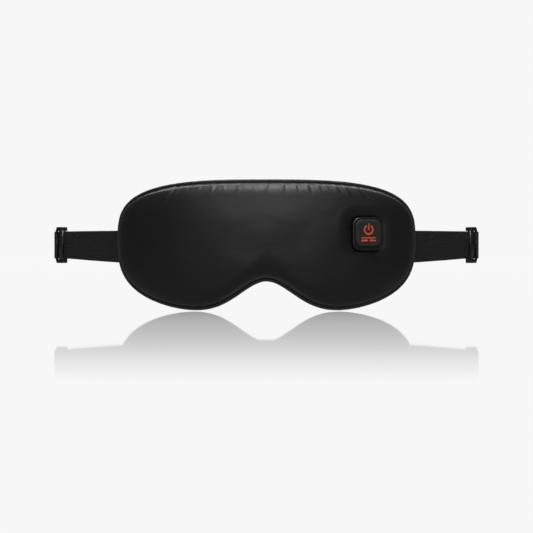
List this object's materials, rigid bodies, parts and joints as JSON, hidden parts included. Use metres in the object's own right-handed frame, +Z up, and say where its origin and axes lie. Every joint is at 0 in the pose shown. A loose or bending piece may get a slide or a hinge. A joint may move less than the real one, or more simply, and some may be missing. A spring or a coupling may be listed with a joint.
{
  "type": "eye massager mask",
  "caption": "Padded, contoured eye mask with a press button, vibration motors, a heater film and an elastic head strap with sliding adjusters.",
  "frame": {"origin": "middle of the rear lining, on the plane of symmetry, level with the strap's middle, where the mask rests on the bridge of the nose", "axes": "+X across the face towards the side with the button, +Y from the mask towards the wearer's head, +Z up as worn"},
  "size_m": [0.3458, 0.1456, 0.0963],
  "materials": {
    "satin_cover": "smooth black woven satin",
    "soft_lining": "soft dark grey brushed knit",
    "piping_fabric": "black bias binding over cord",
    "foam": "open-cell sponge",
    "elastic": "ribbed woven elastic",
    "slider_plastic": "semi-gloss moulded acetal",
    "bezel_plastic": "satin moulded ABS",
    "button_silicone": "soft-touch silicone",
    "mark_inlay": "orange-red printed inlay",
    "inner_plastic": "moulded ABS",
    "port_rubber": "moulded silicone",
    "metal": "bright nickel-plated steel",
    "weight_metal": "sintered tungsten alloy",
    "end_cap_plastic": "white nylon",
    "circuit": "green solder resist",
    "chip_plastic": "black epoxy",
    "led_lens": "milky resin",
    "switch_metal": "tinned steel",
    "cell_foil": "foil pouch",
    "heater": "amber polyimide film with printed track",
    "sensor_bead": "glass bead",
    "lead_wire": "red silicone insulation"
  },
  "bodies": {
    "root": {"front_cover": "satin_cover", "front_padding": "foam", "rear_padding": "foam", "rear_lining": "soft_lining", "edge_piping": "piping_fabric", "heater_film": "heater", "temperature_sensor": "sensor_bead", "head_strap": "elastic", "left_strap_keeper": "elastic", "right_strap_keeper": "elastic", "left_motor_pod_base": "inner_plastic", "left_motor_pod_cap": "inner_plastic", "left_motor_can": "metal", "left_motor_end_cap": "end_cap_plastic", "right_motor_pod_base": "inner_plastic", "right_motor_pod_cap": "inner_plastic", "right_motor_can": "metal", "right_motor_end_cap": "end_cap_plastic", "control_bezel": "bezel_plastic", "control_base": "inner_plastic", "housing_screws": "metal", "circuit_board": "circuit", "controller_chip": "chip_plastic", "indicator_leds": "led_lens", "tact_switch": "switch_metal", "charge_socket_shell": "metal", "charge_socket_tongue": "chip_plastic", "port_grommet": "port_rubber", "battery_pack": "cell_foil", "left_motor_lead": "lead_wire", "right_motor_lead": "lead_wire", "battery_lead": "lead_wire", "heater_lead": "lead_wire"},
    "control_button": {"button_cap": "button_silicone", "power_icon": "mark_inlay", "level_marks": "mark_inlay"},
    "switch_actuator": {"switch_plunger": "chip_plastic"},
    "left_rotor": {"left_motor_shaft": "metal", "left_eccentric_weight": "weight_metal"},
    "right_rotor": {"right_motor_shaft": "metal", "right_eccentric_weight": "weight_metal"},
    "left_adjuster": {"left_slider": "slider_plastic", "left_strap_end": "elastic"},
    "right_adjuster": {"right_slider": "slider_plastic", "right_strap_end": "elastic"}
  },
  "joints": [
    {"name": "button_press", "type": "slide", "parent": "root", "child": "control_button", "axis": [-0.3475, 0.9377, 0], "range_m": [0, 0.0008], "stiffness_N_per_m": 1500, "springref_m": -0.0006},
    {"name": "switch_press", "type": "slide", "parent": "root", "child": "switch_actuator", "axis": [-0.3475, 0.9377, 0], "range_m": [0, 0.0008], "stiffness_N_per_m": 600},
    {"name": "left_weight_spin", "type": "hinge", "parent": "root", "child": "left_rotor", "pos_m": [-0.04395, -0.00941, -0.001], "axis": [-0.9818, 0.19, 0], "continuous": true},
    {"name": "right_weight_spin", "type": "hinge", "parent": "root", "child": "right_rotor", "pos_m": [0.04395, -0.00941, -0.001], "axis": [0.9818, 0.19, 0], "continuous": true},
    {"name": "left_slider_slide", "type": "slide", "parent": "root", "child": "left_adjuster", "axis": [0.6691, -0.7431, 0], "range_m": [0, 0.045], "deforming": ["left_strap_end"]},
    {"name": "right_slider_slide", "type": "slide", "parent": "root", "child": "right_adjuster", "axis": [-0.6691, -0.7431, 0], "range_m": [0, 0.045], "deforming": ["right_strap_end"]}
  ],
  "couplings": [
    {"joint": "switch_press", "follows": "button_press", "ratio": 1}
  ]
}
